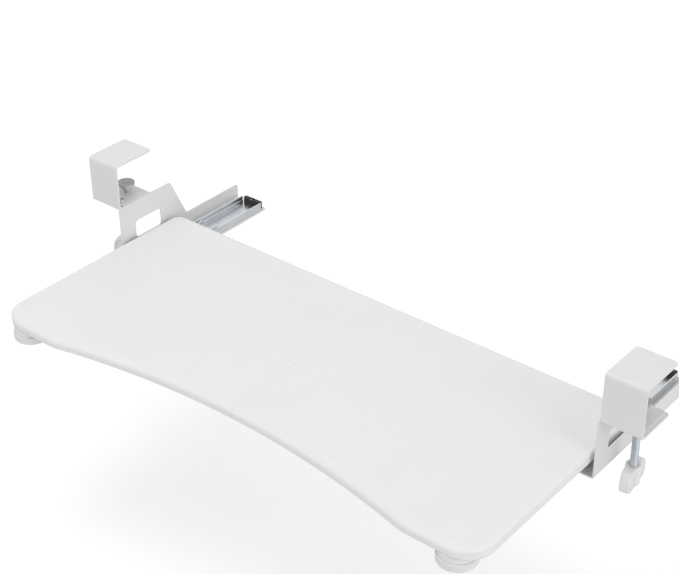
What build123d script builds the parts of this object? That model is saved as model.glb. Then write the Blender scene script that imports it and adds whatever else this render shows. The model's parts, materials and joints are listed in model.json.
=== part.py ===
from build123d import *
import math
import os

# Clamp-on tray. Two bent steel hooks each grip an edge, two window brackets hang below them, and a
# two-part board with a hollowed front edge runs out between the brackets on ball slides.
#
# Frame, in millimetres: X right along the gripped edge, Y backwards, Z up. The origin is the upper front
# corner of what the hooks grip, midway between the two clamps. The tray is drawn pulled out, as in use.

# Clamp hooks, bent from flat steel bar
hook_width = 57.0
hook_sheet = 3.0
hook_height = 72.8
top_arm_depth = 69.5
lower_arm_depth = 62.0
hook_bend_radius = 2.5
lower_bend_radius = 0.6
hook_corner_radius = 5.0
sheet_edge_radius = 0.6
top_pad_thickness = 1.0
top_pad_inset = 3.0

# Clamp screw, its welded nut, the swivel pad and the wing knob
screw_setback = 39.2
thread_radius = 5.0
thread_clearance = 0.05
hole_clearance = 0.4
grip_thickness = 47.0
nut_across_flats = 17.0
nut_height = 8.0
pad_radius = 13.0
pad_face_thickness = 1.5
pad_disc_thickness = 3.0
pad_boss_radius = 8.0
pad_boss_height = 6.5
pad_edge_radius = 0.8
tip_radius = 3.5
tip_length = 5.0
tip_head_radius = 4.4
tip_head_height = 1.5
tip_gap = 0.3
knob_drop = 142.5
knob_height = 28.8
knob_hub_radius = 10.0
knob_wing_reach = 27.0
knob_wing_thickness = 15.0
knob_shoulder_radius = 14.5
knob_toe_radius = 5.8
knob_edge_radius = 2.0
knob_bore_depth = 20.0
knob_bore_clearance = 0.02
right_knob_turn = 8.0
left_knob_turn = -60.0

# Window brackets, folded from sheet
bracket_sheet = 2.0
bracket_bend_radius = 1.5
bracket_front = -5.0
bracket_drop = 153.5
bracket_deep_length = 105.0
bracket_slope_length = 30.0
bracket_rail_height = 25.0
bracket_corner_radius = 4.0
bracket_end_margin = 3.2
bracket_side_gap = 6.0
top_flange_start = 5.0
top_flange_end = 60.0
top_flange_margin = 5.0
lower_flange_width = 62.0
window_front = 24.0
window_back = 77.0
window_top_drop = 97.0
window_bottom_drop = 125.0
window_corner_radius = 6.0

# Bolts that hold each bracket on its hook
bolt_radius = 3.0
bolt_spread = 29.0
bolt_setback = 14.0
bolt_head_radius = 6.0
bolt_head_height = 3.3
bolt_socket_radius = 2.3
bolt_socket_depth = 1.8
bolt_nut_across_flats = 10.0
bolt_nut_height = 5.0
bolt_tail = 1.0

# Board, in two halves that meet at the middle
board_width = 800.0
board_depth = 350.0
board_thickness = 15.0
board_top_drop = 118.7
front_reach = 244.3
front_hollow_depth = 35.8
front_tip_width = 104.7
brow_radius = 90.0
front_corner_radius = 38.0
back_corner_radius = 16.0
front_roll_depth = 14.0
front_roll_drop = 6.0
front_roll_bulge = 1.3
board_edge_round = 4.0
board_bottom_round = 1.0
seam_gap = 0.1
seam_round = 0.5

# Dowels and plates that join the two halves
dowel_radius = 4.0
dowel_length = 40.0
dowel_clearance = 0.1
dowel_spacing = 95.0
dowel_count = 3
plate_length = 260.0
plate_width = 36.0
plate_thickness = 2.0
plate_corner_radius = 8.0
plate_spacing = 150.0
plate_screw_inner = 34.0
plate_screw_outer = 112.0
wood_screw_radius = 1.9
wood_screw_length = 11.0
wood_screw_clearance = 0.05
wood_screw_head_radius = 3.9
wood_screw_head_height = 2.2
drive_recess_radius = 1.5
drive_recess_depth = 1.2

# Round feet under the front corners
foot_inset = 38.5
foot_front_inset = 22.0
foot_radius = 25.6
foot_body_height = 7.8
foot_body_step = 1.6
foot_pad_height = 11.0
foot_edge_radius = 1.5
foot_joint_round = 0.8
foot_screw_recess_radius = 5.0
foot_screw_web = 3.0
foot_stop_gap = 0.5

# Ball slides, lying flat between the bracket's lower flange and the board
slide_length = 230.0
slide_front = 6.0
slide_inset = 38.0
outer_half_width = 20.4
outer_wall = 2.0
outer_wall_height = 12.6
outer_base = 1.4
running_gap = 0.3
middle_half_width = 16.0
middle_wall = 2.8
middle_base = 1.4
middle_wall_height = 9.6
inner_half_width = 10.8
inner_wall = 1.8
inner_plate = 1.6
inner_plate_half_width = 18.5
ball_radius = 2.0
ball_height = 7.4
ball_groove_depth = 0.8
ball_clearance = 0.1
ball_pocket_clearance = 0.15
balls_per_row = 6
ball_pitch = 19.0
cage_sheet = 1.0
cage_web = 0.6
cage_length = 110.0
cage_side_top = 10.4
slide_end_margin = 30.0
rail_screw_count = 3
rail_rivet_count = 3
rivet_radius = 2.0
rivet_head_radius = 3.6
rivet_dome_height = 1.2
rivet_sink_depth = 1.0
bumper_depth = 6.5
bumper_height = 12.0
bumper_half_width = 17.0
bumper_round = 1.0

# Small values for cuts and for finding edges
overrun = 1.0
touch = 0.01

# Levels and places worked out from the sizes above
half_width = board_width / 2
plate_inner_x = half_width + bracket_side_gap
plate_outer_x = plate_inner_x + bracket_sheet
clamp_x = plate_outer_x + hook_width / 2
slide_offset = plate_inner_x - slide_inset
foot_offset = half_width - foot_inset
foot_setback = front_reach - foot_front_inset
hook_top = top_pad_thickness + hook_sheet
hook_bottom = hook_top - hook_height
lower_arm_top = hook_bottom + hook_sheet
flange_top = lower_arm_top + bracket_sheet
bracket_bottom = -bracket_drop
shelf_top = bracket_bottom + bracket_sheet
nut_bottom = hook_bottom - nut_height
pad_top = -grip_thickness
pad_bottom = pad_top - pad_face_thickness - pad_disc_thickness - pad_boss_height
knob_top = -knob_drop
knob_bottom = knob_top - knob_height
board_top = -board_top_drop
board_bottom = board_top - board_thickness
board_front = -front_reach
board_back = board_front + board_depth
front_middle = board_front + front_hollow_depth
dowel_z = board_top - board_thickness / 2
foot_body_bottom = board_bottom - foot_body_height
foot_bottom = foot_body_bottom - foot_pad_height
slide_height = board_bottom - shelf_top
bumper_front = slide_front + slide_length + running_gap
bracket_back = bumper_front + bumper_depth + bracket_end_margin
slide_travel_in = bracket_front - foot_stop_gap - (foot_radius - foot_setback)
inner_front = slide_front - slide_travel_in
middle_front = slide_front - slide_travel_in / 2
cage_inset = slide_length / 4 + running_gap
outer_cage_front = slide_front + cage_inset - slide_travel_in / 4
inner_cage_front = slide_front + cage_inset - slide_travel_in * 3 / 4
middle_base_bottom = outer_base + running_gap + cage_web + running_gap
inner_wall_bottom = middle_base_bottom + middle_base + running_gap + cage_web + running_gap
outer_ball_u = outer_half_width - outer_wall + ball_groove_depth - ball_radius
inner_ball_u = middle_half_width - middle_wall + ball_groove_depth - ball_radius


def block(x_low, x_high, y_low, y_high, z_low, z_high):
    """A box between its lowest and its highest corner."""
    centre = ((x_low + x_high) / 2, (y_low + y_high) / 2, (z_low + z_high) / 2)
    return Pos(*centre) * Box(x_high - x_low, y_high - y_low, z_high - z_low)


def post(x, y, z_low, z_high, radius):
    """An upright round bar."""
    return Pos(x, y, (z_low + z_high) / 2) * Cylinder(radius, z_high - z_low)


def through(x, y, z_low, z_high, radius):
    """A round bar that runs past both levels, to cut a hole through."""
    return post(x, y, z_low - overrun, z_high + overrun, radius)


def hex_bar(x, y, z_low, z_high, across_flats):
    """An upright six-sided bar."""
    outline = RegularPolygon(across_flats / math.sqrt(3), 6)
    return Pos(x, y, z_low) * extrude(outline, z_high - z_low)


def lies_at(value, places):
    """True where a coordinate is one of the places; None stands for any place."""
    return places is None or any(abs(value - place) < touch for place in places)


def edges_at(shape, axis, xs=None, ys=None, zs=None):
    """The shape's straight edges along an axis whose middles lie at the given coordinates."""
    found = []
    for edge in shape.edges().filter_by(axis):
        middle = edge.center()
        if lies_at(middle.X, xs) and lies_at(middle.Y, ys) and lies_at(middle.Z, zs):
            found.append(edge)
    return found


def spread(count, first, last):
    """Evenly spaced places from the first to the last."""
    return [first + (last - first) * step / (count - 1) for step in range(count)]


# Clamps

def bolt_places():
    """The two bolts that join hook and bracket, seen from above."""
    return [(clamp_x + side * bolt_spread / 2, bolt_setback) for side in (-1, 1)]


def clamp_hook():
    """A flat bar bent into a C: top arm, upright web, and a lower arm with the screw's hole."""
    outline = Polyline(
        (top_arm_depth, hook_top),
        (-hook_sheet, hook_top),
        (-hook_sheet, hook_bottom),
        (lower_arm_depth, hook_bottom),
        (lower_arm_depth, lower_arm_top),
        (0, lower_arm_top),
        (0, top_pad_thickness),
        (top_arm_depth, top_pad_thickness),
        close=True,
    )
    hook = Pos(plate_outer_x, 0, 0) * extrude(Plane.YZ * make_face(outline), hook_width)
    hook = fillet(edges_at(hook, Axis.X, ys=[0], zs=[top_pad_thickness]), hook_bend_radius)
    hook = fillet(edges_at(hook, Axis.X, ys=[-hook_sheet], zs=[hook_top]), hook_bend_radius + hook_sheet)
    hook = fillet(edges_at(hook, Axis.X, ys=[0], zs=[lower_arm_top]), lower_bend_radius)
    lower_bend = edges_at(hook, Axis.X, ys=[-hook_sheet], zs=[hook_bottom])
    hook = fillet(lower_bend, lower_bend_radius + hook_sheet)
    hook = fillet(edges_at(hook, Axis.Z, ys=[top_arm_depth, lower_arm_depth]), hook_corner_radius)
    rims = hook.faces().filter_by(Plane.YZ)
    hook = fillet(rims.edges(), sheet_edge_radius)
    hook -= through(clamp_x, screw_setback, hook_bottom, lower_arm_top, thread_radius + hole_clearance)
    for x, y in bolt_places():
        hook -= through(x, y, hook_bottom, lower_arm_top, bolt_radius + hole_clearance)
    return hook


def top_pad():
    """A thin rubber strip glued under the top arm, so that the steel leaves no mark."""
    strip = block(
        plate_outer_x + top_pad_inset,
        plate_outer_x + hook_width - top_pad_inset,
        top_pad_inset,
        top_arm_depth - top_pad_inset,
        0,
        top_pad_thickness,
    )
    return fillet(strip.edges().filter_by(Axis.Z), top_pad_inset)


def screw_nut():
    """The nut welded under the lower arm, which carries the clamp screw's thread."""
    nut = hex_bar(clamp_x, screw_setback, nut_bottom, hook_bottom, nut_across_flats)
    nut = chamfer(nut.faces().sort_by(Axis.Z)[0].edges(), pad_edge_radius)
    return nut - through(clamp_x, screw_setback, nut_bottom, hook_bottom, thread_radius + thread_clearance)


def clamp_screw():
    """The threaded rod: its riveted tip turns in the pad and its lower end is moulded into the knob."""
    shoulder = pad_bottom - tip_gap
    tip_top = shoulder + tip_length
    screw = post(clamp_x, screw_setback, knob_top - knob_bore_depth, shoulder, thread_radius)
    screw = chamfer(screw.faces().sort_by(Axis.Z)[-1].edges(), pad_edge_radius)
    screw += post(clamp_x, screw_setback, shoulder, tip_top, tip_radius)
    return screw + post(clamp_x, screw_setback, tip_top, tip_top + tip_head_height, tip_head_radius)


def pressure_pad():
    """The round steel foot on the screw's tip: a disc with a boss that holds the riveted tip."""
    disc_top = pad_top - pad_face_thickness
    disc_bottom = disc_top - pad_disc_thickness
    pad = post(clamp_x, screw_setback, disc_bottom, disc_top, pad_radius)
    pad = fillet(pad.edges().group_by(Axis.Z)[0], pad_edge_radius)
    pad += post(clamp_x, screw_setback, pad_bottom, disc_bottom, pad_boss_radius)
    head_low = pad_bottom - tip_gap + tip_length
    head_high = head_low + tip_head_height
    head_room = tip_head_radius + thread_clearance
    pad -= post(clamp_x, screw_setback, pad_bottom - overrun, head_low, tip_radius + thread_clearance)
    return pad - post(clamp_x, screw_setback, head_low - tip_gap, head_high + tip_gap, head_room)


def pad_face():
    """The rubber disc on top of the pressure pad."""
    face = post(clamp_x, screw_setback, pad_top - pad_face_thickness, pad_top, pad_radius)
    return fillet(face.edges().group_by(Axis.Z)[-1], pad_edge_radius)


def wing_knob():
    """The moulded knob: a round hub between two flat wings with broad shoulders."""
    side = make_face(
        Polyline(
            (-knob_wing_reach, knob_bottom),
            (knob_wing_reach, knob_bottom),
            (knob_wing_reach, knob_top),
            (-knob_wing_reach, knob_top),
            close=True,
        )
    )
    side = fillet(side.vertices().group_by(Axis.Y)[-1], knob_shoulder_radius)
    side = fillet(side.vertices().group_by(Axis.Y)[0], knob_toe_radius)
    wings = extrude(Plane.YZ * side, knob_wing_thickness / 2, both=True)
    wings = fillet(wings.faces().filter_by(Plane.YZ).edges(), knob_edge_radius)
    hub = post(0, 0, knob_bottom, knob_top, knob_hub_radius)
    hub = fillet(hub.edges().group_by(Axis.Z)[0], knob_edge_radius)
    knob = Pos(clamp_x, screw_setback, 0) * (wings + hub)
    bore = thread_radius + knob_bore_clearance
    return knob - post(clamp_x, screw_setback, knob_top - knob_bore_depth, knob_top + overrun, bore)


def turned_about_screw(shape, x, turn):
    """A piece turned about the clamp screw at the given place along X."""
    return Pos(x, screw_setback, 0) * Rot(0, 0, turn) * Pos(-x, -screw_setback, 0) * shape


# Brackets

def bracket_side():
    """The bracket's upright sheet: deep under the clamp with a window, then low along the slide."""
    low_top = bracket_bottom + bracket_rail_height
    slope_start = bracket_front + bracket_deep_length
    slope_end = slope_start + bracket_slope_length
    outline = make_face(
        Polyline(
            (bracket_front, bracket_bottom),
            (bracket_front, flange_top),
            (slope_start, flange_top),
            (slope_end, low_top),
            (bracket_back, low_top),
            (bracket_back, bracket_bottom),
            close=True,
        )
    )
    upper = [corner for corner in outline.vertices() if corner.Y > bracket_bottom + touch]
    outline = fillet(upper, bracket_corner_radius)
    window = make_face(
        Polyline(
            (window_front, -window_top_drop),
            (window_back, -window_top_drop),
            (window_back, -window_bottom_drop),
            (window_front, -window_bottom_drop),
            close=True,
        )
    )
    window = fillet(window.vertices(), window_corner_radius)
    return Pos(plate_inner_x, 0, 0) * extrude(Plane.YZ * (outline - window), bracket_sheet)


def window_bracket():
    """A folded sheet: a flange on the hook's lower arm, the side with its window, and a shelf inwards."""
    bracket = bracket_side()
    bracket += block(
        plate_inner_x,
        plate_outer_x + hook_width - top_flange_margin,
        top_flange_start,
        top_flange_end,
        lower_arm_top,
        flange_top,
    )
    shelf_x = plate_outer_x - lower_flange_width
    bracket += block(shelf_x, plate_outer_x, bracket_front, bracket_back, bracket_bottom, shelf_top)
    outer_bend = edges_at(bracket, Axis.Y, xs=[plate_outer_x], zs=[bracket_bottom])
    bracket = fillet(outer_bend, bracket_bend_radius + bracket_sheet)
    inner_bend = edges_at(bracket, Axis.Y, xs=[plate_inner_x], zs=[shelf_top])
    bracket = fillet(inner_bend, bracket_bend_radius)
    shelf_corners = edges_at(bracket, Axis.Z, xs=[shelf_x])
    bracket = fillet(shelf_corners, bracket_corner_radius)
    flange_corners = edges_at(bracket, Axis.Z, xs=[plate_outer_x + hook_width - top_flange_margin])
    bracket = fillet(flange_corners, bracket_corner_radius)
    bracket -= through(clamp_x, screw_setback, lower_arm_top, flange_top, thread_radius + hole_clearance)
    for x, y in bolt_places():
        bracket -= through(x, y, lower_arm_top, flange_top, bolt_radius + hole_clearance)
    for y in rivet_places():
        bracket -= through(slide_offset, y, bracket_bottom, shelf_top, rivet_radius + wood_screw_clearance)
    return bracket


def bracket_bolts():
    """Low round-headed bolts down through the top flange and the hook's lower arm."""
    bolts = []
    head_top = flange_top + bolt_head_height
    for x, y in bolt_places():
        bolt = post(x, y, flange_top, head_top, bolt_head_radius)
        bolt = fillet(bolt.edges().group_by(Axis.Z)[-1], bolt_head_height / 2)
        bolt -= hex_bar(x, y, head_top - bolt_socket_depth, head_top + overrun, 2 * bolt_socket_radius)
        bolts.append(bolt + post(x, y, hook_bottom - bolt_nut_height - bolt_tail, flange_top, bolt_radius))
    return Compound(children=bolts)


def bracket_nuts():
    """Six-sided nuts under the hook's lower arm."""
    nuts = []
    low = hook_bottom - bolt_nut_height
    for x, y in bolt_places():
        nut = hex_bar(x, y, low, hook_bottom, bolt_nut_across_flats)
        nuts.append(nut - through(x, y, low, hook_bottom, bolt_radius + thread_clearance))
    return Compound(children=nuts)


# Ball slides

def rivet_places():
    """Where rivets hold the outer rail and the bumper to the bracket's shelf, along Y."""
    last = slide_front + slide_length - slide_end_margin
    return spread(rail_rivet_count, slide_front + slide_end_margin, last) + [bumper_front + bumper_depth / 2]


def rail_screw_places():
    """Where screws hold the inner rail to the board, along Y, with the tray pulled out."""
    last = inner_front + slide_length - slide_end_margin
    return spread(rail_screw_count, inner_front + slide_end_margin, last)


def along(u, y_front, y_back, level, radius):
    """A round bar along Y, at a distance from the slide's middle line and a height above the shelf."""
    bar = Cylinder(radius, y_back - y_front)
    return Pos(slide_offset + u, (y_front + y_back) / 2, shelf_top + level) * Rot(90, 0, 0) * bar


def strip(u_low, u_high, y_front, y_back, low, high):
    """A box placed from the slide's middle line and from the bracket's shelf."""
    x_low = slide_offset + u_low
    x_high = slide_offset + u_high
    return block(x_low, x_high, y_front, y_back, shelf_top + low, shelf_top + high)


def ball_grooves(u, y_front):
    """The pair of grooves in which a member's two rows of balls run."""
    groove = ball_radius + ball_clearance
    y_low = y_front - overrun
    y_high = y_front + slide_length + overrun
    return along(u, y_low, y_high, ball_height, groove) + along(-u, y_low, y_high, ball_height, groove)


def outer_rail():
    """The fixed channel, riveted to the shelf, open upwards, with a ball groove in each wall."""
    back = slide_front + slide_length
    rail = strip(-outer_half_width, outer_half_width, slide_front, back, 0, outer_wall_height)
    hollow = outer_half_width - outer_wall
    top = outer_wall_height + overrun
    rail -= strip(-hollow, hollow, slide_front - overrun, back + overrun, outer_base, top)
    rail -= ball_grooves(outer_ball_u, slide_front)
    for y in rivet_places()[:-1]:
        rail -= rivet_body(y, outer_base, wood_screw_clearance)
    return rail


def middle_rail():
    """The channel between the fixed and the moving rail, with ball grooves inside and outside."""
    back = middle_front + slide_length
    top = middle_base_bottom + middle_wall_height
    rail = strip(-middle_half_width, middle_half_width, middle_front, back, middle_base_bottom, top)
    hollow = middle_half_width - middle_wall
    base_top = middle_base_bottom + middle_base
    rail -= strip(-hollow, hollow, middle_front - overrun, back + overrun, base_top, top + overrun)
    return rail - ball_grooves(outer_ball_u, middle_front) - ball_grooves(inner_ball_u, middle_front)


def inner_rail():
    """The moving rail: a hat section whose wide plate is screwed under the board."""
    back = inner_front + slide_length
    plate_low = slide_height - inner_plate
    half = inner_half_width
    rail = strip(-half, half, inner_front, back, inner_wall_bottom, slide_height)
    hollow = half - inner_wall
    low = inner_wall_bottom - overrun
    rail -= strip(-hollow, hollow, inner_front - overrun, back + overrun, low, plate_low)
    half = inner_plate_half_width
    rail += strip(-half, half, inner_front, back, plate_low, slide_height)
    rail -= ball_grooves(inner_ball_u, inner_front)
    radius = wood_screw_radius + hole_clearance
    for y in rail_screw_places():
        rail -= through(slide_offset, y, board_bottom - inner_plate, board_bottom, radius)
    return rail


def ball_places(y_front, u):
    """The centres of one cage's balls, in two rows."""
    first = y_front + (cage_length - ball_pitch * (balls_per_row - 1)) / 2
    last = first + ball_pitch * (balls_per_row - 1)
    return [(side * u, y) for side in (-1, 1) for y in spread(balls_per_row, first, last)]


def ball_cage(y_front, u, web_low):
    """A thin U of sheet that keeps two rows of balls apart and in step."""
    back = y_front + cage_length
    half = u + cage_sheet / 2
    cage = strip(-half, half, y_front, back, web_low, cage_side_top)
    hollow = half - cage_sheet
    top = cage_side_top + overrun
    cage -= strip(-hollow, hollow, y_front - overrun, back + overrun, web_low + cage_web, top)
    pocket = Rot(0, 90, 0) * Cylinder(ball_radius + ball_pocket_clearance, 2 * cage_sheet)
    for ball_u, y in ball_places(y_front, u):
        cage -= Pos(slide_offset + ball_u, y, shelf_top + ball_height) * pocket
    return cage


def balls(y_front, u):
    """The steel balls of one cage."""
    ball = Pos(slide_offset, 0, shelf_top + ball_height) * Sphere(ball_radius)
    return Compound(children=[Pos(ball_u, y, 0) * ball for ball_u, y in ball_places(y_front, u)])


def rivet_body(y, top, clearance):
    """A rivet's shank with a sunk head on top, grown by a clearance for its hole."""
    shank = post(slide_offset, y, bracket_bottom, shelf_top + top, rivet_radius + clearance)
    cone_middle = shelf_top + top - rivet_sink_depth / 2
    sunk_head = Cone(rivet_radius + clearance, rivet_head_radius + clearance, rivet_sink_depth)
    return shank + Pos(slide_offset, y, cone_middle) * sunk_head


def rail_rivets():
    """The rivets through the outer rail and the shelf, and the one in the bumper, domed below."""
    rivets = []
    tops = [outer_base] * rail_rivet_count + [bumper_height]
    dome_radius = (rivet_head_radius**2 + rivet_dome_height**2) / (2 * rivet_dome_height)
    dome_low = bracket_bottom - rivet_dome_height
    for y, top in zip(rivet_places(), tops):
        dome = Pos(slide_offset, y, dome_low + dome_radius) * Sphere(dome_radius)
        dome &= post(slide_offset, y, dome_low - overrun, bracket_bottom, rivet_head_radius + overrun)
        rivets.append(rivet_body(y, top, 0) + dome)
    return Compound(children=rivets)


def rear_bumper():
    """A rubber block behind the slide, which stops the rails when the tray is pushed in."""
    bumper_back = bumper_front + bumper_depth
    bumper = strip(-bumper_half_width, bumper_half_width, bumper_front, bumper_back, 0, bumper_height)
    bumper = fillet(bumper.edges().filter_by(Axis.Z), bumper_round)
    return bumper - rivet_body(rivet_places()[-1], bumper_height, wood_screw_clearance)


# Board

def board_outline(half):
    """The board from above, as wide as asked: one long arc hollows its front edge between two tips."""
    tip_x = half_width - front_tip_width
    hollow = ThreePointArc((-tip_x, board_front), (0, front_middle), (tip_x, board_front))
    rest = Polyline(
        (tip_x, board_front),
        (half, board_front),
        (half, board_back),
        (-half, board_back),
        (-half, board_front),
        (-tip_x, board_front),
    )
    outline = make_face([hollow, rest])
    brows = [corner for corner in outline.vertices() if lies_at(abs(corner.X), [tip_x])]
    return fillet(brows, brow_radius)


def front_roll():
    """What is milled off along the front edge, so that the wrists rest on a softly rolled edge."""
    wide = board_outline(half_width + overrun)
    line = Wire([edge for edge in wide.edges() if edge.center().Y < front_middle + touch])
    start = line @ 0
    chord = math.hypot(front_roll_depth, front_roll_drop)
    bulge_y = front_roll_depth / 2 - front_roll_bulge * front_roll_drop / chord
    bulge_z = front_roll_bulge * front_roll_depth / chord - front_roll_drop / 2
    curve = ThreePointArc((front_roll_depth, 0), (bulge_y, bulge_z), (0, -front_roll_drop))
    rest = Polyline(
        (0, -front_roll_drop),
        (-overrun, -front_roll_drop),
        (-overrun, overrun),
        (front_roll_depth, overrun),
        (front_roll_depth, 0),
    )
    across = Plane(origin=(start.X, board_front, board_top), x_dir=(0, 1, 0), z_dir=(1, 0, 0))
    return sweep(across * make_face([curve, rest]), path=line)


def board_blank():
    """The whole board with its edges worked, before it is cut into halves."""
    board = Pos(0, 0, board_bottom) * extrude(board_outline(half_width), board_thickness)
    corners = edges_at(board, Axis.Z, xs=[-half_width, half_width], ys=[board_front])
    board = fillet(corners, front_corner_radius)
    corners = edges_at(board, Axis.Z, xs=[-half_width, half_width], ys=[board_back])
    board = fillet(corners, back_corner_radius) - front_roll()
    rim = []
    for edge in board.faces().sort_by(Axis.Z)[-1].edges():
        middle = edge.center()
        behind_roll = middle.Y > front_middle + front_roll_depth + touch
        if behind_roll or abs(middle.X) > half_width - front_corner_radius + touch:
            rim.append(edge)
    for edge in board.edges():
        if board_top - front_roll_drop - touch < edge.center().Z < board_top - touch:
            rim.append(edge)
    board = fillet(rim, board_edge_round)
    return fillet(board.faces().sort_by(Axis.Z)[0].edges(), board_bottom_round)


def plate_places():
    """The middles of the two joining plates, along Y."""
    middle = (front_middle + board_back) / 2
    return [middle - plate_spacing / 2, middle + plate_spacing / 2]


def plate_screw_places():
    """The screws of both joining plates."""
    offsets = [-plate_screw_outer, -plate_screw_inner, plate_screw_inner, plate_screw_outer]
    return [(x, y) for y in plate_places() for x in offsets]


def dowel_places():
    """The dowels across the seam, along Y."""
    middle = (front_middle + board_back) / 2
    reach = dowel_spacing * (dowel_count - 1) / 2
    return spread(dowel_count, middle - reach, middle + reach)


def pilot_hole(x, y):
    """A blind hole in the board's underside for one wood screw."""
    radius = wood_screw_radius + wood_screw_clearance
    return post(x, y, board_bottom - overrun, board_bottom + wood_screw_length, radius)


def dowel(y, radius, length):
    """A round bar across the seam, halfway up the board."""
    return Pos(0, y, dowel_z) * Rot(0, 90, 0) * Cylinder(radius, length)


def right_panel():
    """The right half of the board, softened along the seam, with its pilot and dowel holes."""
    around = (board_front - overrun, board_back + overrun, board_bottom - overrun, board_top + overrun)
    panel = board_blank() & block(seam_gap / 2, half_width + overrun, *around)
    seam = panel.faces().filter_by(Plane.YZ).sort_by(Axis.X)[0]
    panel = fillet(seam.edges(), seam_round)
    for y in dowel_places():
        panel -= dowel(y, dowel_radius + dowel_clearance, dowel_length + 2 * dowel_clearance)
    for x, y in plate_screw_places():
        if x > 0:
            panel -= pilot_hole(x, y)
    for y in rail_screw_places():
        panel -= pilot_hole(slide_offset, y)
    return panel - pilot_hole(foot_offset, -foot_setback)


def seam_dowels():
    """The dowels that line the two halves up."""
    return Compound(children=[dowel(y, dowel_radius, dowel_length) for y in dowel_places()])


def joining_plate(y):
    """A flat steel plate under the seam, screwed to both halves."""
    reach = plate_length / 2
    half = plate_width / 2
    radius = wood_screw_radius + hole_clearance
    plate = block(-reach, reach, y - half, y + half, board_bottom - plate_thickness, board_bottom)
    plate = fillet(plate.edges().filter_by(Axis.Z), plate_corner_radius)
    for x, screw_y in plate_screw_places():
        if screw_y == y:
            plate -= through(x, y, board_bottom - plate_thickness, board_bottom, radius)
    return plate


def wood_screw(x, y, seat):
    """A pan-headed wood screw, driven up into the board from a seat below it."""
    head = post(x, y, seat - wood_screw_head_height, seat, wood_screw_head_radius)
    head = fillet(head.edges().group_by(Axis.Z)[0], wood_screw_head_height / 2)
    slot_top = seat - wood_screw_head_height + drive_recess_depth
    head -= hex_bar(x, y, seat - wood_screw_head_height - overrun, slot_top, 2 * drive_recess_radius)
    return head + post(x, y, seat, board_bottom + wood_screw_length, wood_screw_radius)


def joining_screws():
    """The screws of both joining plates."""
    seat = board_bottom - plate_thickness
    return Compound(children=[wood_screw(x, y, seat) for x, y in plate_screw_places()])


def rail_screws():
    """The screws that hold the inner rail under the board."""
    seat = board_bottom - inner_plate
    return Compound(children=[wood_screw(slide_offset, y, seat) for y in rail_screw_places()])


# Front feet

def front_foot():
    """The moulded upper tier of a round foot under the board's front corner, stepped in a little."""
    foot = post(foot_offset, -foot_setback, foot_body_bottom, board_bottom, foot_radius - foot_body_step)
    foot = fillet(foot.edges().group_by(Axis.Z)[0], foot_joint_round)
    return foot - foot_screw_hole()


def foot_pad():
    """The soft lower tier of the foot, a little wider than the upper one."""
    pad = post(foot_offset, -foot_setback, foot_bottom, foot_body_bottom, foot_radius)
    pad = fillet(pad.edges().group_by(Axis.Z)[0], foot_edge_radius)
    pad = fillet(pad.edges().group_by(Axis.Z)[-1], foot_joint_round)
    return pad - foot_screw_hole()


def foot_screw_hole():
    """The stepped hole through both tiers for the foot's screw."""
    seat = board_bottom - foot_screw_web
    hole = post(foot_offset, -foot_setback, foot_bottom - overrun, seat, foot_screw_recess_radius)
    radius = wood_screw_radius + hole_clearance
    return hole + post(foot_offset, -foot_setback, seat, board_bottom + overrun, radius)


def foot_screw():
    """The screw that holds a foot under the board."""
    return wood_screw(foot_offset, -foot_setback, board_bottom - foot_screw_web)


def right_side():
    """Every piece that the tray has once on each side, drawn for the right."""
    outer_web = outer_base + running_gap
    inner_web = middle_base_bottom + middle_base + running_gap
    return {
        "clamp_hook": clamp_hook(),
        "top_pad": top_pad(),
        "screw_nut": screw_nut(),
        "clamp_screw": clamp_screw(),
        "pressure_pad": pressure_pad(),
        "pad_face": pad_face(),
        "wing_knob": wing_knob(),
        "window_bracket": window_bracket(),
        "bracket_bolts": bracket_bolts(),
        "bracket_nuts": bracket_nuts(),
        "outer_rail": outer_rail(),
        "outer_ball_cage": ball_cage(outer_cage_front, outer_ball_u, outer_web),
        "outer_balls": balls(outer_cage_front, outer_ball_u),
        "middle_rail": middle_rail(),
        "inner_ball_cage": ball_cage(inner_cage_front, inner_ball_u, inner_web),
        "inner_balls": balls(inner_cage_front, inner_ball_u),
        "inner_rail": inner_rail(),
        "rail_rivets": rail_rivets(),
        "rail_screws": rail_screws(),
        "rear_bumper": rear_bumper(),
        "panel": right_panel(),
        "front_foot": front_foot(),
        "foot_pad": foot_pad(),
        "foot_screw": foot_screw(),
    }


def mirrored(shape):
    """The same piece for the left side."""
    if isinstance(shape, Compound) and shape.children:
        return Compound(children=[child.mirror(Plane.YZ) for child in shape.children])
    return shape.mirror(Plane.YZ)


def main():
    """Builds every piece and writes each to a file of its own."""
    pieces = {}
    for name, shape in right_side().items():
        pieces["right_" + name] = shape
        pieces["left_" + name] = mirrored(shape)
    for side, x, turn in (("right", clamp_x, right_knob_turn), ("left", -clamp_x, left_knob_turn)):
        knob = side + "_wing_knob"
        pieces[knob] = turned_about_screw(pieces[knob], x, turn)
    front_y, rear_y = plate_places()
    pieces["front_joining_plate"] = joining_plate(front_y)
    pieces["rear_joining_plate"] = joining_plate(rear_y)
    pieces["joining_screws"] = joining_screws()
    pieces["seam_dowels"] = seam_dowels()
    os.makedirs("parts", exist_ok=True)
    for name, shape in pieces.items():
        export_step(shape, os.path.join("parts", name + ".step"))


main()
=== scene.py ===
import json
import math

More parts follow.
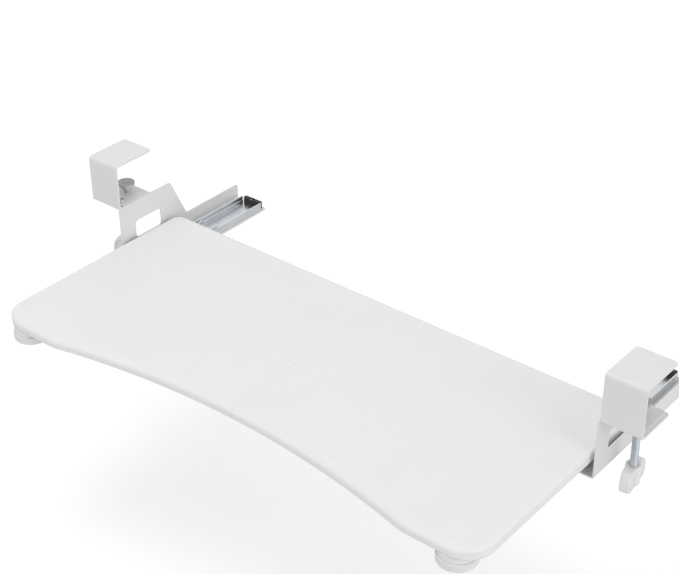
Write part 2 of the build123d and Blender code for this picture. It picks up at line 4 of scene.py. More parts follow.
import bpy
import numpy as np
from mathutils import Matrix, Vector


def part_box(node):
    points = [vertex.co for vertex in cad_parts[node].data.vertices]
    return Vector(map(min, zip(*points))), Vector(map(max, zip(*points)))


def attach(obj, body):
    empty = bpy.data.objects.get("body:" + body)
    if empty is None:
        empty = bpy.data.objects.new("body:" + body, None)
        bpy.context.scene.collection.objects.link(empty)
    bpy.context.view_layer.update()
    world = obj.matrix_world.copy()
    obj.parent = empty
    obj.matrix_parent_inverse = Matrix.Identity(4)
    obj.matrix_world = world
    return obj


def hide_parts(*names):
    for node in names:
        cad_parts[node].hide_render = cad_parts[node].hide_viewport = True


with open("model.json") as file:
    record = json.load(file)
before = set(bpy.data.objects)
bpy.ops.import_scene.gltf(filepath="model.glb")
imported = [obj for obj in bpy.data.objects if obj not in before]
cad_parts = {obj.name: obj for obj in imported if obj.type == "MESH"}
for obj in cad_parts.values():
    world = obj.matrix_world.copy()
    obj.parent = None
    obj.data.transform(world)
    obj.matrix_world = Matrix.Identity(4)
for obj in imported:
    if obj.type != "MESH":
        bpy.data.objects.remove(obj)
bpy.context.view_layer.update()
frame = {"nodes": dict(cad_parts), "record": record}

MM = 0.001
SIDES = ("left", "right")

# Clamp screw
ROD_RADIUS = 5.0 * MM
THREAD_DEPTH = 0.8 * MM
THREAD_PITCH = 1.5 * MM
THREAD_GAIN = 1.25
THREAD_DROP = 0.12
THREAD_POWER = 1.15
THREAD_FADE_TURNS = 1.6
THREAD_RINGS_PER_TURN = 9
TIP_GAP = 0.3 * MM
TIP_LENGTH = 5.0 * MM
TIP_RADIUS = 3.5 * MM
TIP_HEAD_RADIUS = 4.4 * MM

# Wing knob
KNOB_HUB = 10.0 * MM
KNOB_HUB_EDGE = 0.6 * MM
KNOB_REACH = 27.0 * MM
KNOB_HALF = 7.5 * MM
KNOB_SHOULDER = 14.5 * MM
KNOB_TOE = 5.8 * MM
KNOB_EDGE = 2.0 * MM
KNOB_RIM = 2.6 * MM
KNOB_PANEL = 2.8 * MM
KNOB_PANEL_START = 7.0 * MM
KNOB_PANEL_WALL = 1.4 * MM
KNOB_WING_POWER = 8
KNOB_BLEND_POWER = 10
KNOB_CROWDING = 0.3
KNOB_DISH_RADII = (6.6 * MM, 6.2 * MM, 6.0 * MM, 5.6 * MM)
KNOB_DISH_DEPTHS = (0.0 * MM, 0.15 * MM, 0.8 * MM, 1.0 * MM)
KNOB_TURN = {"left": math.radians(-60), "right": math.radians(8)}

# Rubber pieces and feet
STRIP_CORNER = 3.0 * MM
STRIP_RIB_PITCH = 2.2 * MM
STRIP_RIB_DEPTH = 0.35 * MM
DISC_GROOVE_RADII = (3.5 * MM, 6.5 * MM, 9.5 * MM)
DISC_GROOVE_WIDTH = 0.45 * MM
DISC_GROOVE_DEPTH = 0.35 * MM
DISC_EDGE = 0.6 * MM
FOOT_BORE = 5.0 * MM
FOOT_SOLE_START = 6.2 * MM
FOOT_RING_PITCH = 1.9 * MM
FOOT_RING_DEPTH = 0.3 * MM
FOOT_LOWER_RIM = 1.5 * MM
FOOT_UPPER_RIM = 0.8 * MM
BUMPER_EDGE = 0.9 * MM
BUMPER_CORNER = 1.4 * MM

# Floor, in metres, with its emission near the middle and far out
FLOOR_LEVEL = -0.5
FLOOR_REACH = 9.0
GLOW_START = 1.2
GLOW_END = 3.0
GLOW_NEAR = 0.3
GLOW_FAR = 0.5

# Camera: azimuth, elevation and roll in degrees, lengths in metres, sensor in millimetres
CAMERA_ANGLES = (39.72, 32.28, -0.60)
CAMERA_DISTANCE = 1.86462
CAMERA_TARGET = (0.0933, -0.1034, 0.04698)
FOCAL_PIXELS = 1540.95
WIDTH_PIXELS = 679
SENSOR_WIDTH = 36.0


# Surfaces

def put_mesh(name, points, faces):
    """A mesh object from an array of points and lists of corner numbers, shaded smooth."""
    mesh = bpy.data.meshes.new(name)
    mesh.from_pydata(points.tolist(), [], faces)
    mesh.polygons.foreach_set("use_smooth", np.ones(len(mesh.polygons), bool))
    mesh.update()
    piece = bpy.data.objects.new(name, mesh)
    bpy.context.scene.collection.objects.link(piece)
    return piece


def place(piece, body, slot, *nodes):
    """Fixes a piece on its body, hides the nodes it stands for, and gives it its finish."""
    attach(piece, body)
    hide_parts(*nodes)
    piece.data.materials.clear()
    piece.data.materials.append(finishes[slot])


def ring_shell(name, rings, looped=False):
    """A closed shell over rings of points: ring k joins ring k + 1 with quads, and a fan closes each end.

    rings has the shape (rings, points round, 3), goes round anticlockwise seen from above and rises. A
    looped shell has a hole through it: its last ring joins its first, with no fans."""
    rows, columns = rings.shape[:2]
    points = rings.reshape(-1, 3)
    bands = rows if looped else rows - 1
    row, column = np.meshgrid(np.arange(bands), np.arange(columns), indexing="ij")
    after = (column + 1) % columns
    low, high = row * columns, (row + 1) % rows * columns
    walls = np.stack([low + column, low + after, high + after, high + column], -1).reshape(-1, 4)
    if looped:
        return put_mesh(name, points, walls.tolist())
    turn = np.arange(columns)
    ahead = (turn + 1) % columns
    first, last = rows * columns, rows * columns + 1
    top = (rows - 1) * columns
    floor = np.stack([ahead, turn, np.full(columns, first)], -1)
    roof = np.stack([top + turn, top + ahead, np.full(columns, last)], -1)
    points = np.concatenate([points, rings[:1].mean(1), rings[-1:].mean(1)])
    return put_mesh(name, points, walls.tolist() + floor.tolist() + roof.tolist())


def turned(name, centre, radii, heights, columns=96, looped=False):
    """A turned piece: each ring is a circle round the centre with its own radius and height."""
    angle = np.linspace(0, 2 * np.pi, columns, endpoint=False)
    x = centre[0] + np.outer(radii, np.cos(angle))
    y = centre[1] + np.outer(radii, np.sin(angle))
    z = np.repeat(np.asarray(heights)[:, None], columns, 1)
    return ring_shell(name, np.stack([x, y, z], -1), looped)


def clamp_screw(side):
    """The rod with its thread.

    At a height z and an angle a the thread is a wave of z / pitch - a / 360 degrees, whose crest and root
    are flats of about a tenth of the pitch. The crest is the rod's radius, the root lies a thread's depth
    below it. The wave fades out over the last turns, where the rod ends in a shoulder, the thin tip and the
    riveted head. The tip is a list of radii with their heights."""
    low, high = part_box(side + "_clamp_screw")
    centre = (low + high) / 2
    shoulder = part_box(side + "_pressure_pad")[0].z - TIP_GAP
    columns = 40
    angle = np.linspace(0, 2 * np.pi, columns, endpoint=False)
    z = np.arange(low.z, shoulder, THREAD_PITCH / THREAD_RINGS_PER_TURN)
    phase = z[:, None] / THREAD_PITCH - angle[None, :] / (2 * np.pi)
    wave = np.abs(2 * (phase - np.floor(phase)) - 1)
    wave = np.clip(THREAD_GAIN * wave - THREAD_DROP, 0, 1) ** THREAD_POWER
    fade = np.clip((shoulder - z) / (THREAD_FADE_TURNS * THREAD_PITCH), 0, 1)[:, None]
    radius = ROD_RADIUS - THREAD_DEPTH * (1 - wave * fade)
    neck = shoulder + TIP_LENGTH
    tip = np.array([
        (TIP_RADIUS + 0.3 * MM, shoulder),
        (TIP_RADIUS, shoulder + 0.3 * MM),
        (TIP_RADIUS, neck - 0.1 * MM),
        (TIP_HEAD_RADIUS - 0.3 * MM, neck),
        (TIP_HEAD_RADIUS, neck + 0.2 * MM),
        (TIP_HEAD_RADIUS, neck + 0.7 * MM),
        (TIP_HEAD_RADIUS - 0.5 * MM, high.z - 0.3 * MM),
        (0.5 * TIP_HEAD_RADIUS, high.z - 0.05 * MM),
        (0.6 * MM, high.z),
    ])
    radius = np.concatenate([radius, np.repeat(tip[:, :1], columns, 1)])
    z = np.concatenate([z, tip[:, 1]])
    x = centre.x + radius * np.cos(angle)
    y = centre.y + radius * np.sin(angle)
    rod = ring_shell(side + "_threaded_rod", np.stack([x, y, np.repeat(z[:, None], columns, 1)], -1))
    place(rod, side + "_screw", "bright_steel", side + "_clamp_screw")


def rounded(distance, radius):
    """How far a rounded edge has drawn back at a distance from the end face, along a quarter circle."""
    inside = np.clip(radius - distance, 0, radius)
    return radius - np.sqrt(radius**2 - inside**2)


def ramp(distance, width):
    """A smooth step from 0 to 1 as the distance goes from 0 to the width: 3 t squared less 2 t cubed."""
    t = np.clip(distance / width, 0, 1)
    return t * t * (3 - 2 * t)


def wing_knob(side):
    """The moulded knob, as the radius of its outline at each angle from the wings and at each height.

    The wings are a superellipse of the eighth power, reach long and half thick; both draw back along
    quarter circles at the shoulders, the toes and the edges. The hub is a circle. The two are joined by the
    tenth root of the sum of their tenth powers, which leaves a small soft fillet between them. Inside a rim
    that follows the outline, smooth steps sink a panel into both faces of each wing, from the hub outwards.
    The top dips into a small dish round the rod. The angles crowd together at the wings' tips."""
    low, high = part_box(side + "_wing_knob")
    screw_low, screw_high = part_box(side + "_clamp_screw")
    centre = (screw_low + screw_high) / 2
    step = np.linspace(0, 2 * np.pi, 288, endpoint=False)
    angle = step - KNOB_CROWDING * np.sin(2 * step)
    rise = 0.5 - 0.5 * np.cos(np.linspace(0, np.pi, 84))
    z = low.z + (high.z - low.z) * rise
    reach = KNOB_REACH - rounded(high.z - z, KNOB_SHOULDER) - rounded(z - low.z, KNOB_TOE)
    half = KNOB_HALF - rounded(high.z - z, KNOB_EDGE) - rounded(z - low.z, KNOB_EDGE)
    reach, half = reach[:, None], half[:, None]
    long_way = np.abs(np.cos(angle) / reach) ** KNOB_WING_POWER
    short_way = np.abs(np.sin(angle) / half) ** KNOB_WING_POWER
    wings = (long_way + short_way) ** (-1 / KNOB_WING_POWER)
    hub = KNOB_HUB - rounded(high.z - z, KNOB_HUB_EDGE) - rounded(z - low.z, KNOB_EDGE)
    radius = (wings**KNOB_BLEND_POWER + hub[:, None] ** KNOB_BLEND_POWER) ** (1 / KNOB_BLEND_POWER)
    along, across = radius * np.cos(angle), radius * np.sin(angle)
    from_tip = ramp(reach - KNOB_RIM - np.abs(along), KNOB_PANEL_WALL)
    from_hub = ramp(np.abs(along) - KNOB_PANEL_START, KNOB_PANEL_WALL)
    from_ends = ramp(z - low.z - KNOB_RIM, KNOB_PANEL_WALL) * ramp(high.z - KNOB_RIM - z, KNOB_PANEL_WALL)
    across -= np.sign(across) * KNOB_PANEL * from_tip * from_hub * from_ends[:, None]
    dish = np.array(KNOB_DISH_RADII)[:, None]
    along = np.concatenate([0.5 * along[:1], along, dish * np.cos(angle)])
    across = np.concatenate([0.5 * across[:1], across, dish * np.sin(angle)])
    z = np.concatenate([z[:1], z, high.z - np.array(KNOB_DISH_DEPTHS)])
    facing = math.pi / 2 + KNOB_TURN[side]
    x = centre.x + along * math.cos(facing) - across * math.sin(facing)
    y = centre.y + along * math.sin(facing) + across * math.cos(facing)
    knob = ring_shell(side + "_moulded_knob", np.stack([x, y, np.repeat(z[:, None], len(angle), 1)], -1))
    place(knob, side + "_screw", "white_plastic", side + "_wing_knob")


def rounded_outline(half_x, half_y, corner, columns=160):
    """Points round a rectangle with round corners, in directions at even angles from a hair off the X axis.

    A direction meets the rectangle's side. Where that is within a corner's square, the point is drawn
    towards the middle of the corner's circle until it lies on it."""
    angle = np.linspace(0, 2 * np.pi, columns, endpoint=False) + 1e-4
    square = np.maximum(np.abs(np.cos(angle)), np.abs(np.sin(angle)))
    x = half_x * np.cos(angle) / square
    y = half_y * np.sin(angle) / square
    inner_x, inner_y = half_x - corner, half_y - corner
    over_x, over_y = np.abs(x) - inner_x, np.abs(y) - inner_y
    in_corner = (over_x > 0) & (over_y > 0)
    length = np.hypot(over_x, over_y)
    pull = np.where(in_corner, corner / np.maximum(length, 1e-9), 1.0)
    x = np.where(in_corner, np.sign(x) * (inner_x + over_x * pull), x)
    y = np.where(in_corner, np.sign(y) * (inner_y + over_y * pull), y)
    return x, y


def ribbed_strip(side):
    """The rubber strip under the top arm: a thin slab with round corners whose lower face is ribbed.

    Its rings grow from the middle to the rim. The lower face rises by the ribs' depth times the square of a
    sine along the strip, faded out near the rim."""
    low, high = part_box(side + "_top_pad")
    centre = (low + high) / 2
    x, y = rounded_outline((high.x - low.x) / 2, (high.y - low.y) / 2, STRIP_CORNER, 240)
    shares = np.concatenate([np.linspace(0.02, 0.99, 70), [1.0]])
    rim_share = 0.03
    rings = []
    for share in shares:
        rib = np.sin(np.pi * y * share / STRIP_RIB_PITCH) ** 2
        rim = np.clip((1 - share) / rim_share, 0, 1)
        z = low.z + STRIP_RIB_DEPTH * rib * rim
        rings.append(np.stack([centre.x + x * share, centre.y + y * share, z], -1))
    top = np.full_like(x, high.z)
    rings.append(np.stack([centre.x + x, centre.y + y, top], -1))
    strip = ring_shell(side + "_ribbed_strip", np.array(rings))
    place(strip, "clamp_frame", "soft_rubber", side + "_top_pad")


def grooved_disc(side):
    """The rubber disc on the swivel pad: a turned profile whose upper face has three shallow grooves.

    The height drops by the grooves' depth times a narrow bell round each groove's radius."""
    low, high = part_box(side + "_pad_face")
    centre = (low + high) / 2
    radius = (high.x - low.x) / 2
    bend = np.linspace(0, np.pi / 2, 7)
    rim_radii = radius - DISC_EDGE * (1 - np.cos(bend))
    rim_heights = high.z - DISC_EDGE * (1 - np.sin(bend))
    face = np.linspace(radius - DISC_EDGE - 0.1 * MM, 0.4 * MM, 60)
    dip = sum(np.exp(-((face - groove) / DISC_GROOVE_WIDTH) ** 2) for groove in DISC_GROOVE_RADII)
    radii = np.concatenate([[radius - 0.4 * MM, radius], rim_radii, face])
    heights = np.concatenate([[low.z, low.z + 0.1 * MM], rim_heights, high.z - DISC_GROOVE_DEPTH * dip])
    disc = turned(side + "_grooved_disc", centre, radii, heights)
    place(disc, side + "_swivel_pad", "soft_rubber", side + "_pad_face")


def foot_tread(side):
    """The lower tier of the foot: a turned, looped profile with fine rings on the sole, rounded rims and the
    bore in which the screw's head lies deeper up. The rings' height is their depth times a squared sine of
    the radius; both rims are quarter circles."""
    low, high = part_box(side + "_foot_pad")
    centre = (low + high) / 2
    radius = (high.x - low.x) / 2
    sole = np.linspace(FOOT_SOLE_START, radius - FOOT_LOWER_RIM - 0.5 * MM, 110)
    rings = FOOT_RING_DEPTH * np.sin(np.pi * (sole - FOOT_SOLE_START) / FOOT_RING_PITCH) ** 2
    bend = np.linspace(0, np.pi / 2, 9)
    lower_radii = radius - FOOT_LOWER_RIM * (1 - np.sin(bend))
    lower_heights = low.z + FOOT_LOWER_RIM * (1 - np.cos(bend))
    upper_radii = radius - FOOT_UPPER_RIM * (1 - np.cos(bend))
    upper_heights = high.z - FOOT_UPPER_RIM * (1 - np.sin(bend))
    mouth_radii = [FOOT_BORE, FOOT_BORE + 0.2 * MM, FOOT_BORE + 0.6 * MM]
    mouth_heights = [low.z + 0.6 * MM, low.z + 0.15 * MM, low.z]
    radii = np.concatenate([mouth_radii, sole, lower_radii, upper_radii, [FOOT_BORE]])
    heights = np.concatenate([mouth_heights, low.z + rings, lower_heights, upper_heights, [high.z]])
    tread = turned(side + "_foot_tread", centre, radii, heights, 120, looped=True)
    place(tread, "tray", "foot_rubber", side + "_foot_pad")


def rear_bumper(side):
    """The rubber stop: rings of a rounded rectangle, drawn in along quarter circles at top and bottom."""
    low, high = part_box(side + "_rear_bumper")
    centre = (low + high) / 2
    half_x, half_y = (high.x - low.x) / 2, (high.y - low.y) / 2
    bend = np.linspace(0, np.pi / 2, 7)
    draw = BUMPER_EDGE * np.concatenate([1 - np.sin(bend), 1 - np.cos(bend)])
    z = np.concatenate([low.z + BUMPER_EDGE * (1 - np.cos(bend)), high.z - BUMPER_EDGE * (1 - np.sin(bend))])
    rings = []
    for inset, level in zip(draw, z):
        x, y = rounded_outline(half_x - inset, half_y - inset, BUMPER_CORNER)
        rings.append(np.stack([centre.x + x, centre.y + y, np.full_like(x, level)], -1))
    block = ring_shell(side + "_stop_block", np.array(rings))
    place(block, "clamp_frame", "dark_rubber", side + "_rear_bumper")


# Node groups: effects that several finishes share

def new_group(name, inputs, outputs):
    """An empty node group with named inputs (kind and value) and outputs (kind)."""
    group = bpy.data.node_groups.new(name, "ShaderNodeTree")
    for label, kind, value in inputs:
        socket = group.interface.new_socket(name=label, in_out="INPUT", socket_type="NodeSocket" + kind)
        socket.default_value = value
    for label, kind in outputs:
        group.interface.new_socket(name=label, in_out="OUTPUT", socket_type="NodeSocket" + kind)
    return group


def node(tree, kind, links=None, **settings):
    """A node with its settings, and values or sources for its inputs by name or number."""
    made = tree.nodes.new("ShaderNode" + kind)
    for label, value in settings.items():
        setattr(made, label, value)
    for label, value in (links or {}).items():
        socket = made.inputs[label]
        if isinstance(value, bpy.types.NodeSocket):
            tree.links.new(value, socket)
        else:
            socket.default_value = value
    return made


def ends(tree):
    """A group's input node and output node."""
    return tree.nodes.new("NodeGroupInput"), tree.nodes.new("NodeGroupOutput")


def grain_group():
    """Fine surface grain: two noises, the second at a third of the first one's size, in object space."""
    tree = new_group("fine_grain", [("Grains per metre", "Float", 900.0), ("Softness", "Float", 0.5)],
                     [("Height", "Float"), ("Mask", "Float")])
    start, end = ends(tree)
    where = node(tree, "TexCoord").outputs["Object"]
    finer = node(tree, "Math", {0: start.outputs[0], 1: 3.1}, operation="MULTIPLY").outputs[0]
    coarse = node(tree, "TexNoise", {"Vector": where, "Scale": start.outputs[0], "Detail": 1.5,
                                     "Roughness": start.outputs[1]}).outputs["Fac"]
    fine = node(tree, "TexNoise", {"Vector": where, "Scale": finer, "Detail": 1.0,
                                   "Roughness": 0.5}).outputs["Fac"]
    share = node(tree, "Math", {0: fine, 1: 0.35}, operation="MULTIPLY").outputs[0]
    height = node(tree, "Math", {0: coarse, 1: share}, operation="ADD").outputs[0]
    tree.links.new(height, end.inputs["Height"])
    mask = node(tree, "MapRange", {"Value": coarse, "From Min": 0.35, "From Max": 0.65}).outputs[0]
    tree.links.new(mask, end.inputs["Mask"])
    return tree


def drift_group():
    """Slow change of tone between two colours over patches of a given number to the metre."""
    tree = new_group("tone_drift", [("Light", "Color", (1, 1, 1, 1)), ("Dark", "Color", (0.9, 0.9, 0.9, 1)),
                                    ("Patches per metre", "Float", 12.0)],
                     [("Color", "Color")])
    start, end = ends(tree)
    where = node(tree, "TexCoord").outputs["Object"]
    noise = node(tree, "TexNoise", {"Vector": where, "Scale": start.outputs[2], "Detail": 4.0,
                                    "Roughness": 0.6}).outputs["Fac"]
    mask = node(tree, "MapRange", {"Value": noise, "From Min": 0.3, "From Max": 0.7}).outputs[0]
    mixed = node(tree, "Mix", {"Factor": mask, "A": start.outputs[0], "B": start.outputs[1]},
                 data_type="RGBA")
    tree.links.new(mixed.outputs[2], end.inputs["Color"])
    return tree


def drawn_group():
    """Drawn or rolled metal: noise stretched along Y, with a few long scratches picked out of it."""
    tree = new_group("drawn_metal",
                     [("Lines per metre", "Float", 1400.0), ("Stretch", "Vector", (1, 0.02, 1))],
                     [("Height", "Float"), ("Mask", "Float"), ("Scratches", "Float")])
    start, end = ends(tree)
    where = node(tree, "TexCoord").outputs["Object"]
    along = node(tree, "VectorMath", {0: where, 1: start.outputs[1]}, operation="MULTIPLY").outputs[0]
    lines = node(tree, "TexNoise", {"Vector": along, "Scale": start.outputs[0], "Detail": 3.0,
                                    "Roughness": 0.6}).outputs["Fac"]
    mask = node(tree, "MapRange", {"Value": lines, "From Min": 0.35, "From Max": 0.65}).outputs[0]
    scratch = node(tree, "MapRange", {"Value": lines, "From Min": 0.66, "From Max": 0.74}).outputs[0]
    tree.links.new(lines, end.inputs["Height"])
    tree.links.new(mask, end.inputs["Mask"])
    tree.links.new(scratch, end.inputs["Scratches"])
    return tree


def handling_group():
    """Faint marks of handling and dust: sparse smears, more of them on faces that look up."""
    tree = new_group("handling", [("Smears per metre", "Float", 30.0), ("Amount", "Float", 0.5)],
                     [("Mask", "Float")])
    start, end = ends(tree)
    where = node(tree, "TexCoord").outputs["Object"]
    noise = node(tree, "TexNoise", {"Vector": where, "Scale": start.outputs[0], "Detail": 6.0,
                                    "Roughness": 0.65, "Distortion": 0.6}).outputs["Fac"]
    smear = node(tree, "MapRange", {"Value": noise, "From Min": 0.52, "From Max": 0.72}).outputs[0]
    up = node(tree, "SeparateXYZ", {0: node(tree, "NewGeometry").outputs["Normal"]}).outputs[2]
    lift = node(tree, "MapRange", {"Value": up, "From Min": -0.5, "From Max": 1.0, "To Min": 0.4}).outputs[0]
    both = node(tree, "Math", {0: smear, 1: lift}, operation="MULTIPLY").outputs[0]
    mask = node(tree, "Math", {0: both, 1: start.outputs[1]}, operation="MULTIPLY").outputs[0]
    tree.links.new(mask, end.inputs["Mask"])
    return tree


groups = {
    "grain": grain_group(),
    "drift": drift_group(),
    "drawn": drawn_group(),
    "handling": handling_group(),
}


# Finishes

def new_finish(name):
    """A material with only its shader and output left in."""
    material = bpy.data.materials.new(name)
    material.use_nodes = True
    tree = material.node_tree
    return material, tree, tree.nodes["Principled BSDF"]


def group_node(tree, name, **values):
    """A shared effect placed in a finish, its inputs set by name with spaces for underscores."""
    made = tree.nodes.new("ShaderNodeGroup")
    made.node_tree = groups[name]
    for label, value in values.items():
        made.inputs[label.replace("_", " ")].default_value = value
    return made


def between(tree, factor, low, high):
    """A number that runs from low to high with a mask."""
    return node(tree, "MapRange", {"Value": factor, "To Min": low, "To Max": high}).outputs[0]


def bump(tree, shader, height, strength, distance):
    """Height to the shader's normal, in metres."""
    made = node(tree, "Bump", {"Height": height, "Strength": strength, "Distance": distance})
    tree.links.new(made.outputs[0], shader.inputs["Normal"])


def coated(name, light, dark, rough, grain, strength, distance, smear=0.35, coat=0.0, patches=9.0):
    """Paint, foil or plastic: drifting tone, grain in the surface, smears that change the gloss."""
    material, tree, shader = new_finish(name)
    tone = group_node(tree, "drift", Light=(*light, 1), Dark=(*dark, 1), Patches_per_metre=patches)
    marks = group_node(tree, "handling", Smears_per_metre=28.0, Amount=smear)
    dulled = node(tree, "Mix", {"Factor": marks.outputs[0], "A": tone.outputs[0],
                                "B": (*(0.94 * value for value in dark), 1)}, data_type="RGBA")
    texture = group_node(tree, "grain", Grains_per_metre=grain)
    gloss = node(tree, "Math", {0: between(tree, texture.outputs["Mask"], rough - 0.03, rough + 0.03),
                                1: between(tree, marks.outputs[0], 0.0, 0.12)}, operation="ADD")
    tree.links.new(dulled.outputs[2], shader.inputs["Base Color"])
    tree.links.new(gloss.outputs[0], shader.inputs["Roughness"])
    shader.inputs["Coat Weight"].default_value = coat
    shader.inputs["Coat Roughness"].default_value = 0.2
    bump(tree, shader, texture.outputs["Height"], strength, distance)
    return material


def metal(name, light, dark, rough, lines, stretch, strength, distance, tarnish=0.3):
    """Plated or bare steel: drawn lines, scratches and a drifting, partly tarnished tone."""
    material, tree, shader = new_finish(name)
    tone = group_node(tree, "drift", Light=(*light, 1), Dark=(*dark, 1), Patches_per_metre=45.0)
    drawn = group_node(tree, "drawn", Lines_per_metre=lines, Stretch=stretch)
    marks = group_node(tree, "handling", Smears_per_metre=60.0, Amount=tarnish)
    worn = node(tree, "Mix", {"Factor": drawn.outputs["Scratches"], "A": tone.outputs[0],
                              "B": (*(min(1.0, 1.15 * value) for value in light), 1)}, data_type="RGBA")
    dulled = node(tree, "Mix", {"Factor": marks.outputs[0], "A": worn.outputs[2],
                                "B": (*(0.7 * value for value in dark), 1)}, data_type="RGBA")
    gloss = node(tree, "Math", {0: between(tree, drawn.outputs["Mask"], rough - 0.06, rough + 0.06),
                                1: between(tree, marks.outputs[0], 0.0, 0.2)}, operation="ADD")
    tree.links.new(dulled.outputs[2], shader.inputs["Base Color"])
    tree.links.new(gloss.outputs[0], shader.inputs["Roughness"])
    shader.inputs["Metallic"].default_value = 1.0
    bump(tree, shader, drawn.outputs["Height"], strength, distance)
    return material


def board_finish():
    """The board's matte white foil, faintly pebbled, with a painted shade: a greyer band along its bottom
    edge.

    The painted shade is a narrow ramp of the height Z at the board's bottom, which greys the foil there in
    place of the shadow line under the board's edge."""
    material = coated("white_board", light=(0.85, 0.85, 0.846), dark=(0.832, 0.832, 0.829), rough=0.5,
                      grain=1300.0, strength=0.18, distance=0.00006, smear=0.18, patches=5.0)
    tree = material.node_tree
    shader = tree.nodes["Principled BSDF"]
    tone = shader.inputs["Base Color"].links[0].from_socket
    level = node(tree, "SeparateXYZ", {0: node(tree, "TexCoord").outputs["Object"]}).outputs[2]
    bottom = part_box("left_panel")[0].z
    # painted shade: the foil turns grey in the last 1.6 mm above the board's bottom, standing in for the
    # shadow line under the edge
    bottom_shade = node(tree, "MapRange", {"Value": level, "From Min": bottom + 0.6 * MM,
                                   "From Max": bottom + 1.6 * MM, "To Min": 1.0, "To Max": 0.0}).outputs[0]
    bottom_shaded = node(tree, "Mix", {"Factor": bottom_shade, "A": tone, "B": (0.69, 0.686, 0.672, 1)},
                  data_type="RGBA")
    tree.links.new(bottom_shaded.outputs[2], shader.inputs["Base Color"])
    return material


def dowel_finish():
    """Beech: long stretched rings along X with short dark flecks."""
    material, tree, shader = new_finish("dowel_wood")
    where = node(tree, "TexCoord").outputs["Object"]
    along = node(tree, "VectorMath", {0: where, 1: (0.05, 1, 1)}, operation="MULTIPLY").outputs[0]
    rings = node(tree, "TexNoise", {"Vector": along, "Scale": 700.0, "Detail": 4.0}).outputs["Fac"]
    flecks = node(tree, "TexNoise", {"Vector": along, "Scale": 2600.0, "Detail": 1.0}).outputs["Fac"]
    base = node(tree, "Mix", {"Factor": rings, "A": (0.62, 0.42, 0.24, 1), "B": (0.42, 0.25, 0.12, 1)},
                data_type="RGBA")
    dark = node(tree, "MapRange", {"Value": flecks, "From Min": 0.62, "From Max": 0.7}).outputs[0]
    wood = node(tree, "Mix", {"Factor": dark, "A": base.outputs[2], "B": (0.22, 0.12, 0.06, 1)},
                data_type="RGBA")
    tree.links.new(wood.outputs[2], shader.inputs["Base Color"])
    tree.links.new(between(tree, rings, 0.5, 0.75), shader.inputs["Roughness"])
    bump(tree, shader, rings, 0.4, 0.0001)
    return material


finishes = {
    "white_paint": coated("white_paint", light=(0.79, 0.79, 0.785), dark=(0.765, 0.765, 0.76), rough=0.4,
                          grain=1100.0, strength=0.35, distance=0.00012, smear=0.25),
    "white_board": board_finish(),
    "white_plastic": coated("white_plastic", light=(0.84, 0.84, 0.832), dark=(0.81, 0.81, 0.8), rough=0.26,
                            grain=1800.0, strength=0.12, distance=0.00005, smear=0.3, coat=0.15,
                            patches=40.0),
    "foot_plastic": coated("foot_plastic", light=(0.83, 0.83, 0.82), dark=(0.8, 0.8, 0.79), rough=0.42,
                           grain=1500.0, strength=0.2, distance=0.00008, patches=30.0),
    "foot_rubber": coated("foot_rubber", light=(0.81, 0.81, 0.8), dark=(0.78, 0.78, 0.77), rough=0.62,
                          grain=1700.0, strength=0.3, distance=0.0001, smear=0.5, patches=30.0),
    "soft_rubber": coated("soft_rubber", light=(0.52, 0.52, 0.51), dark=(0.46, 0.46, 0.45), rough=0.7,
                          grain=1700.0, strength=0.4, distance=0.0001, smear=0.5, patches=30.0),
    "dark_rubber": coated("dark_rubber", light=(0.028, 0.028, 0.028), dark=(0.02, 0.02, 0.02), rough=0.6,
                          grain=1400.0, strength=0.4, distance=0.0001, smear=0.6, patches=30.0),
    "bright_steel": metal("bright_steel", light=(0.62, 0.65, 0.69), dark=(0.5, 0.53, 0.57), rough=0.33,
                          lines=900.0, stretch=(1, 1, 0.05), strength=0.1, distance=0.00003),
    "zinc_steel": metal("zinc_steel", light=(0.66, 0.68, 0.7), dark=(0.55, 0.57, 0.6), rough=0.36,
                        lines=1200.0, stretch=(1, 0.15, 1), strength=0.12, distance=0.00003, tarnish=0.35),
    "rail_steel": metal("rail_steel", light=(0.7, 0.72, 0.74), dark=(0.6, 0.62, 0.65), rough=0.3,
                        lines=1600.0, stretch=(1, 0.015, 1), strength=0.15, distance=0.00003, tarnish=0.25),
    "cage_steel": metal("cage_steel", light=(0.56, 0.57, 0.58), dark=(0.44, 0.45, 0.46), rough=0.34,
                        lines=1500.0, stretch=(1, 0.02, 1), strength=0.12, distance=0.00003, tarnish=0.6),
    "ball_steel": metal("ball_steel", light=(0.78, 0.79, 0.8), dark=(0.7, 0.71, 0.72), rough=0.12,
                        lines=2500.0, stretch=(1, 1, 1), strength=0.02, distance=0.00001, tarnish=0.15),
    "dowel_wood": dowel_finish(),
}
for part in frame["record"]["subparts"]:
    shown = frame["nodes"][part["node"]]
    shown.data.materials.clear()
    shown.data.materials.append(finishes[part["material_slot"]])
for side in SIDES:
    clamp_screw(side)
    wing_knob(side)
    ribbed_strip(side)
    grooved_disc(side)
    foot_tread(side)
    rear_bumper(side)


# Floor, light and camera

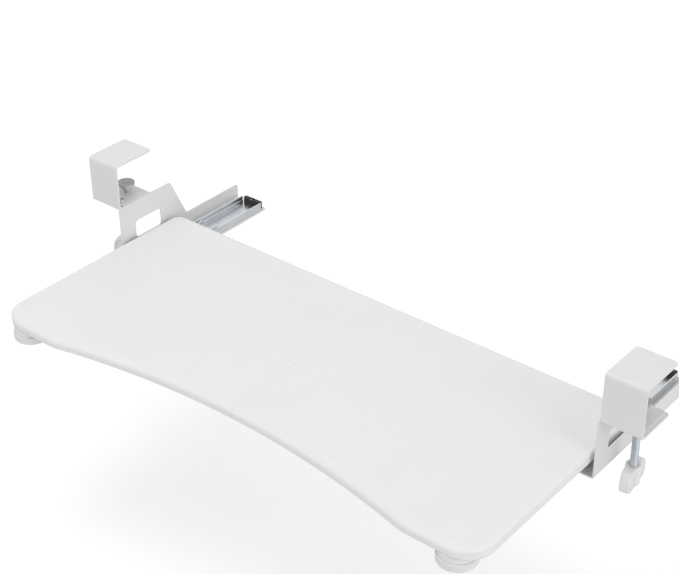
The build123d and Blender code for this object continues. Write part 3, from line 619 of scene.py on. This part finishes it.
def pale_floor():
    """A wide level sheet, seen by the camera as white with the object's shadow left on it.

    Away from the lamps the sheet is lifted more, so that it meets the surround without an edge."""
    ways = ((-1, -1), (1, -1), (1, 1), (-1, 1))
    corners = np.array([[x * FLOOR_REACH, y * FLOOR_REACH, FLOOR_LEVEL] for x, y in ways])
    sheet = put_mesh("pale_floor", corners, [[0, 1, 2, 3]])
    material, tree, shader = new_finish("pale_floor")
    where = node(tree, "TexCoord").outputs["Object"]
    cloud = node(tree, "TexNoise", {"Vector": where, "Scale": 3.0, "Detail": 3.0}).outputs["Fac"]
    tone = node(tree, "Mix", {"Factor": cloud, "A": (0.84, 0.84, 0.84, 1), "B": (0.86, 0.86, 0.86, 1)},
                data_type="RGBA")
    tree.links.new(tone.outputs[2], shader.inputs["Base Color"])
    shader.inputs["Roughness"].default_value = 0.9
    shader.inputs["Specular IOR Level"].default_value = 0.0
    path = tree.nodes.new("ShaderNodeLightPath")
    away = node(tree, "VectorMath", {0: where}, operation="LENGTH").outputs["Value"]
    glow = node(tree, "MapRange", {"Value": away, "From Min": GLOW_START, "From Max": GLOW_END,
                                   "To Min": GLOW_NEAR, "To Max": GLOW_FAR})
    lift = node(tree, "Math", {0: path.outputs["Is Camera Ray"], 1: glow.outputs[0]}, operation="MULTIPLY")
    shader.inputs["Emission Color"].default_value = (1, 1, 1, 1)
    tree.links.new(lift.outputs[0], shader.inputs["Emission Strength"])
    sheet.data.materials.append(material)


def studio_world(strength):
    """An even pale surround: white to the camera, glossy and transmission rays, dimmer as a light."""
    world = bpy.data.worlds.new("studio")
    bpy.context.scene.world = world
    world.use_nodes = True
    tree = world.node_tree
    shader = tree.nodes["Background"]
    path = tree.nodes.new("ShaderNodeLightPath")
    direct = node(tree, "Math", {0: path.outputs["Is Camera Ray"], 1: path.outputs["Is Glossy Ray"]},
                  operation="MAXIMUM")
    seen = node(tree, "Math", {0: direct.outputs[0], 1: path.outputs["Is Transmission Ray"]},
                operation="MAXIMUM")
    level = node(tree, "MapRange", {"Value": seen.outputs[0], "To Min": strength, "To Max": 1.0})
    shader.inputs["Color"].default_value = (1, 1, 1, 1)
    tree.links.new(level.outputs[0], shader.inputs["Strength"])


def facing_back(away, spot, roll=0.0):
    """The matrix of a lamp or camera at a spot, looking against a unit direction, level but for its roll."""
    level = np.cross([0, 0, 1], away)
    level = level / np.linalg.norm(level)
    upright = np.cross(away, level)
    turn = np.eye(4)
    turn[:3, 0] = level * math.cos(roll) + upright * math.sin(roll)
    turn[:3, 1] = -level * math.sin(roll) + upright * math.cos(roll)
    turn[:3, 2] = away
    turn[:3, 3] = spot
    return Matrix(turn.tolist())


def soft_lamp(name, spot, aim, size, power):
    """A square soft light that looks from its spot to its aim."""
    lamp = bpy.data.lights.new(name, "AREA")
    lamp.shape = "SQUARE"
    lamp.size = size
    lamp.energy = power
    holder = bpy.data.objects.new(name, lamp)
    bpy.context.scene.collection.objects.link(holder)
    away = np.array(spot) - np.array(aim)
    holder.matrix_world = facing_back(away / np.linalg.norm(away), spot)


def photo_camera():
    """The camera fitted to the photograph: it looks at its target from an azimuth and an elevation, and is
    rolled a little."""
    azimuth, elevation, roll = np.radians(CAMERA_ANGLES)
    away = np.array([math.sin(azimuth) * math.cos(elevation), -math.cos(azimuth) * math.cos(elevation),
                     math.sin(elevation)])
    lens = bpy.data.cameras.new("photo_camera")
    lens.sensor_width = SENSOR_WIDTH
    lens.lens = FOCAL_PIXELS / WIDTH_PIXELS * SENSOR_WIDTH
    lens.clip_end = 60.0
    camera = bpy.data.objects.new("photo_camera", lens)
    bpy.context.scene.collection.objects.link(camera)
    camera.matrix_world = facing_back(away, np.array(CAMERA_TARGET) + away * CAMERA_DISTANCE, roll)
    bpy.context.scene.camera = camera


pale_floor()
studio_world(strength=0.72)
soft_lamp("key_light", spot=(-0.3, -0.7, 2.7), aim=(0, -0.1, -0.1), size=1.4, power=18.0)
soft_lamp("side_light", spot=(4.8, -0.8, 1.6), aim=(0.1, -0.1, -0.1), size=2.6, power=46.0)
photo_camera()
bpy.context.scene.view_settings.view_transform = "Standard"
